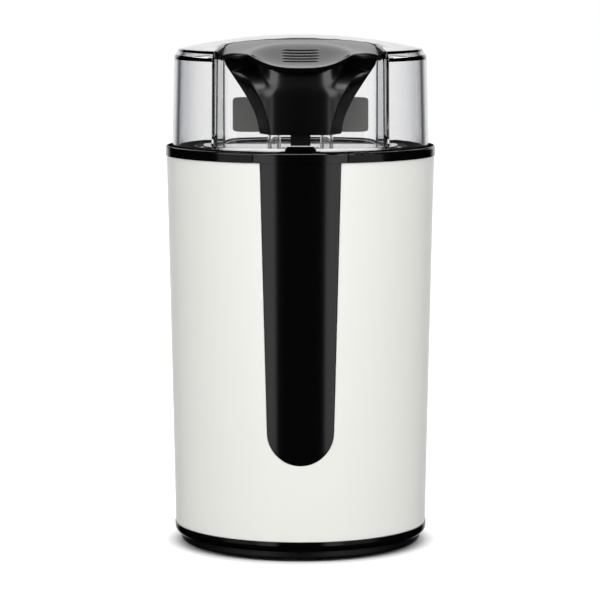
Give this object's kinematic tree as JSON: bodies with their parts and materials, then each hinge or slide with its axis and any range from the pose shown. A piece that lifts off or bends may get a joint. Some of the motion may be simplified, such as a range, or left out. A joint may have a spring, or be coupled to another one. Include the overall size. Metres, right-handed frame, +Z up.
{
  "type": "electric spice grinder",
  "caption": "Upright blade grinder for spices: enamelled sleeve, steel bowl, clear lid with a press lever over a switch rod, and a motor below.",
  "frame": {"origin": "on the surface the grinder stands on, under the motor shaft", "axes": "+Z up along the motor shaft, -Y towards the front with the black strip and the lever, +X to the right in front view"},
  "size_m": [0.0987, 0.0987, 0.187],
  "materials": {
    "white_enamel": "smooth warm white stoved enamel on sheet steel",
    "black_satin": "finely textured black moulding",
    "black_gloss": "polished black moulding",
    "bright_steel": "zinc-plated steel",
    "soft_touch": "soft matt black rubber",
    "terminal_cream": "cream moulded thermoset",
    "brass_sheet": "pressed brass",
    "capacitor_yellow": "yellow resin-filled case",
    "fuse_body": "tinned metal case",
    "bowl_steel": "spun and brushed stainless steel",
    "seal_rubber": "brown silicone rubber",
    "blade_steel": "ground stainless steel",
    "lamination": "varnished stacked steel sheet",
    "copper_wire": "enamelled copper wire",
    "fan_plastic": "glass-filled nylon",
    "bracket_metal": "die-cast aluminium",
    "sintered_bronze": "oiled sintered bronze",
    "carbon": "pressed carbon",
    "switch_plastic": "moulded thermoset",
    "button_red": "red moulded button",
    "clear_lid": "clear polished styrene resin",
    "grey_plate": "matt dark grey moulding"
  },
  "bodies": {
    "housing": {"outer_sleeve": "white_enamel", "inner_housing": "black_satin", "upper_housing": "black_satin", "inlet_plate": "black_satin", "front_strip": "black_gloss", "top_collar": "black_gloss", "collar_screws": "bright_steel", "base_cover": "black_satin", "base_screws": "bright_steel", "rubber_feet": "soft_touch", "cord_gland": "black_satin", "cord_clamp": "black_satin", "clamp_screws": "bright_steel", "terminal_block": "terminal_cream", "terminal_screws": "brass_sheet", "suppressor_capacitor": "capacitor_yellow", "thermal_fuse": "fuse_body", "grinding_bowl": "bowl_steel", "bowl_gasket": "soft_touch", "shaft_seal": "seal_rubber", "stator_core": "lamination", "field_coils": "copper_wire", "upper_bracket": "bracket_metal", "lower_bracket": "bracket_metal", "upper_bush": "sintered_bronze", "lower_bush": "sintered_bronze", "motor_bolts": "bright_steel", "motor_nuts": "bright_steel", "motor_mounts": "soft_touch", "mount_screws": "bright_steel", "brush_holders": "brass_sheet", "carbon_brushes": "carbon", "brush_springs": "bright_steel", "rod_spring": "bright_steel", "switch_body": "switch_plastic", "switch_terminals": "brass_sheet", "switch_bracket": "bright_steel", "switch_screws": "bright_steel", "bracket_screws": "bright_steel"},
    "armature": {"blade_hub": "black_satin", "blade": "blade_steel", "blade_nut": "bright_steel", "motor_shaft": "bright_steel", "armature_core": "lamination", "armature_windings": "copper_wire", "commutator": "copper_wire", "cooling_fan": "fan_plastic", "fan_clip": "bright_steel"},
    "lid": {"lid_shell": "clear_lid", "lever_springs": "bright_steel"},
    "lever": {"press_lever": "black_gloss", "lever_guide": "grey_plate", "lever_tongue": "black_satin", "thumb_rest": "soft_touch"},
    "rod": {"switch_rod": "black_gloss"},
    "leaf": {"switch_leaf": "bright_steel"},
    "button": {"switch_button": "button_red"}
  },
  "joints": [
    {"name": "armature_spin", "type": "hinge", "parent": "housing", "child": "armature", "pos_m": [0, 0, 0.08], "axis": [0, 0, 1], "continuous": true},
    {"name": "lid_lift", "type": "slide", "parent": "housing", "child": "lid", "axis": [0, 0, 1], "range_m": [0, 0.06]},
    {"name": "lever_press", "type": "slide", "parent": "lid", "child": "lever", "axis": [0, 0, -1], "range_m": [0, 0.003], "stiffness_N_per_m": 400, "springref_m": -0.003, "deforming": ["lever_springs"]},
    {"name": "rod_push", "type": "slide", "parent": "housing", "child": "rod", "axis": [0, 0, -1], "range_m": [0, 0.003], "deforming": ["rod_spring"]},
    {"name": "leaf_hinge", "type": "hinge", "parent": "housing", "child": "leaf", "pos_m": [-0.01, -0.0396, 0.0903], "axis": [0, 1, 0], "range_deg": [0, 17.5]},
    {"name": "button_push", "type": "slide", "parent": "housing", "child": "button", "axis": [0, 0, -1], "range_m": [0, 0.0012]}
  ],
  "couplings": [
    {"joint": "rod_push", "follows": "lever_press", "ratio": 1},
    {"joint": "leaf_hinge", "follows": "lever_press", "rad_per_m": 101.56},
    {"joint": "button_push", "follows": "lever_press", "ratio": 0.4}
  ]
}
